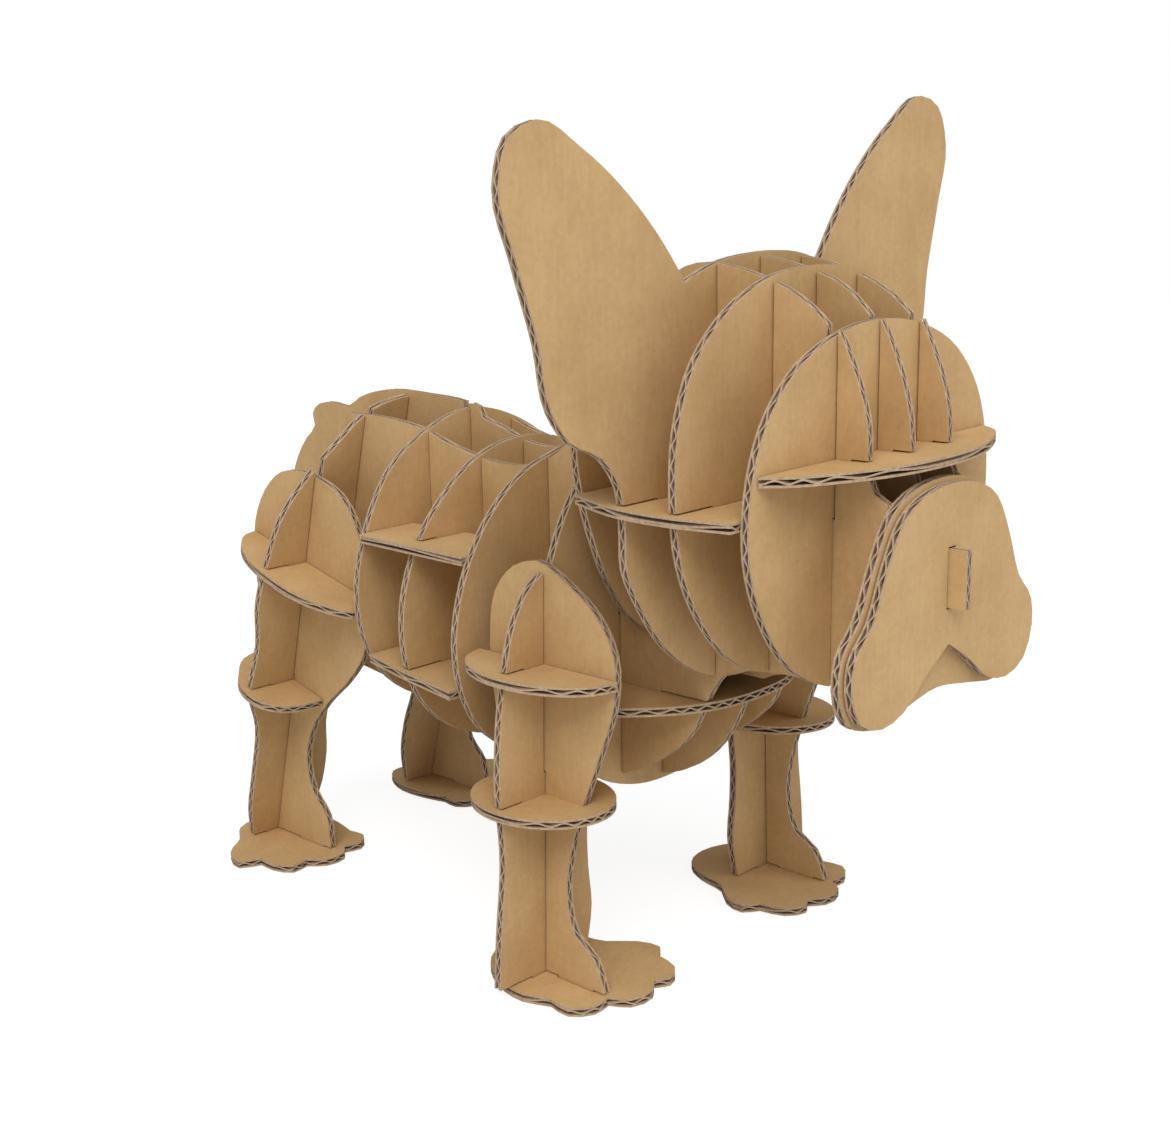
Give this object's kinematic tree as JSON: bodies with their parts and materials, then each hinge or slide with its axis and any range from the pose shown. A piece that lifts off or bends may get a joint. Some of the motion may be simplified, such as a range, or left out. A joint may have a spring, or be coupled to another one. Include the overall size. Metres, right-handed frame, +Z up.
{
  "type": "cardboard dog model",
  "caption": "Standing French bulldog model slotted together from flat corrugated cardboard boards, with upright ears, ribs, shelves and flat toed paws.",
  "frame": {"origin": "on the ground, under the middle of the outer box of ears, snout and rump", "axes": "the dog faces -Y, +Z is up and the dog's left side is +X"},
  "size_m": [0.128, 0.1888, 0.1671],
  "materials": {
    "kraft_board": "matte"
  },
  "bodies": {
    "root": {"brow_shelf": "kraft_board", "cheek_shelf_left": "kraft_board", "cheek_shelf_right": "kraft_board", "chest_shelf": "kraft_board", "crown_rib": "kraft_board", "ear_plate": "kraft_board", "elbow_disc_inner_left": "kraft_board", "elbow_disc_inner_right": "kraft_board", "elbow_disc_outer_left": "kraft_board", "elbow_disc_outer_right": "kraft_board", "face_rib": "kraft_board", "flank_shelf_lower_left": "kraft_board", "flank_shelf_lower_right": "kraft_board", "flank_shelf_upper_left": "kraft_board", "flank_shelf_upper_right": "kraft_board", "foreleg_frame": "kraft_board", "foreleg_side_left": "kraft_board", "foreleg_side_right": "kraft_board", "haunch_shelf_left": "kraft_board", "haunch_shelf_right": "kraft_board", "hindleg_frame": "kraft_board", "hindleg_side_left": "kraft_board", "hindleg_side_right": "kraft_board", "hock_shelf_left": "kraft_board", "hock_shelf_right": "kraft_board", "nape_rib": "kraft_board", "paw_front_left": "kraft_board", "paw_front_right": "kraft_board", "paw_rear_left": "kraft_board", "paw_rear_right": "kraft_board", "profile_left": "kraft_board", "profile_middle": "kraft_board", "profile_right": "kraft_board", "rib_front": "kraft_board", "rib_middle": "kraft_board", "rib_rear": "kraft_board", "shoulder_shelf_left": "kraft_board", "shoulder_shelf_right": "kraft_board", "snout_back": "kraft_board", "snout_front": "kraft_board"}
  },
  "joints": []
}
